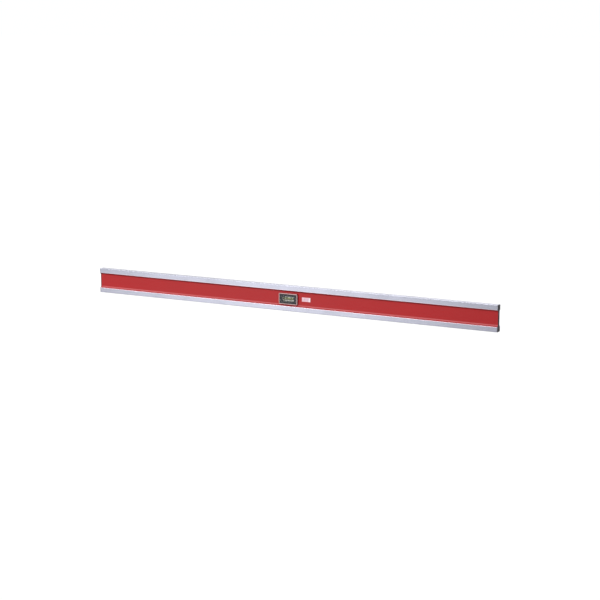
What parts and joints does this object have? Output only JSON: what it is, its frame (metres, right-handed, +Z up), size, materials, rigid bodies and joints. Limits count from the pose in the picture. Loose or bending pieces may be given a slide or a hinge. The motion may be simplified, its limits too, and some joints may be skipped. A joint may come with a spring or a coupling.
{
  "type": "spirit level",
  "caption": "Long I-section spirit level with painted side channels, bare working edges, black end plugs and a bubble vial in a window near the middle.",
  "frame": {"origin": "middle of the lower working face, under the middle of the beam", "axes": "+X along the beam, +Z up to the upper working face, -Y out of the side that carries the label"},
  "size_m": [1, 0.014, 0.057],
  "materials": {
    "bare_aluminium": "satin, machined along its length",
    "red_paint": "satin",
    "black_plug": "matte",
    "black_housing": "fine moulded grain",
    "clear_lens": "clear, polished",
    "bezel_metal": "satin",
    "plated_steel": "zinc plated",
    "brass": "turned",
    "clear_acrylic": "clear, polished",
    "vial_green": "clear yellow-green",
    "black_rubber": "matte",
    "black_marking": "matte ink",
    "air_bubble": "clear",
    "grey_carrier": "moulded",
    "label_paper": "plain, matte"
  },
  "bodies": {
    "level_body": {"beam": "bare_aluminium", "paint_front": "red_paint", "paint_back": "red_paint", "end_plug_left": "black_plug", "end_plug_right": "black_plug", "housing_front": "black_housing", "housing_back": "black_housing", "lens_front": "clear_lens", "lens_back": "clear_lens", "bezel_front": "bezel_metal", "bezel_back": "bezel_metal", "housing_screws": "plated_steel", "screw_inserts": "brass", "pivot_pin": "plated_steel", "size_label": "label_paper"},
    "vial_unit": {"vial_carrier": "grey_carrier", "vial_tube": "clear_acrylic", "vial_liquid": "vial_green", "vial_stoppers": "black_rubber", "vial_rings": "black_marking"},
    "adjusting_cam": {"calibration_cam": "brass"},
    "bubble_body": {"bubble": "air_bubble"}
  },
  "joints": [
    {"name": "cam_turn", "type": "hinge", "parent": "level_body", "child": "adjusting_cam", "pos_m": [0.0248, 0, 0.027], "axis": [0, 1, 0], "range_deg": [-30, 30]},
    {"name": "vial_tilt", "type": "hinge", "parent": "level_body", "child": "vial_unit", "pos_m": [-0.0098, 0, 0.027], "axis": [0, 1, 0], "range_deg": [-0.89, 0.89]},
    {"name": "bubble_slide", "type": "slide", "parent": "vial_unit", "child": "bubble_body", "axis": [1, 0, 0], "range_m": [-0.0062, 0.0062], "stiffness_N_per_m": 0.05}
  ],
  "couplings": [
    {"joint": "cam_turn", "follows": "vial_tilt", "ratio": -33.6}
  ]
}
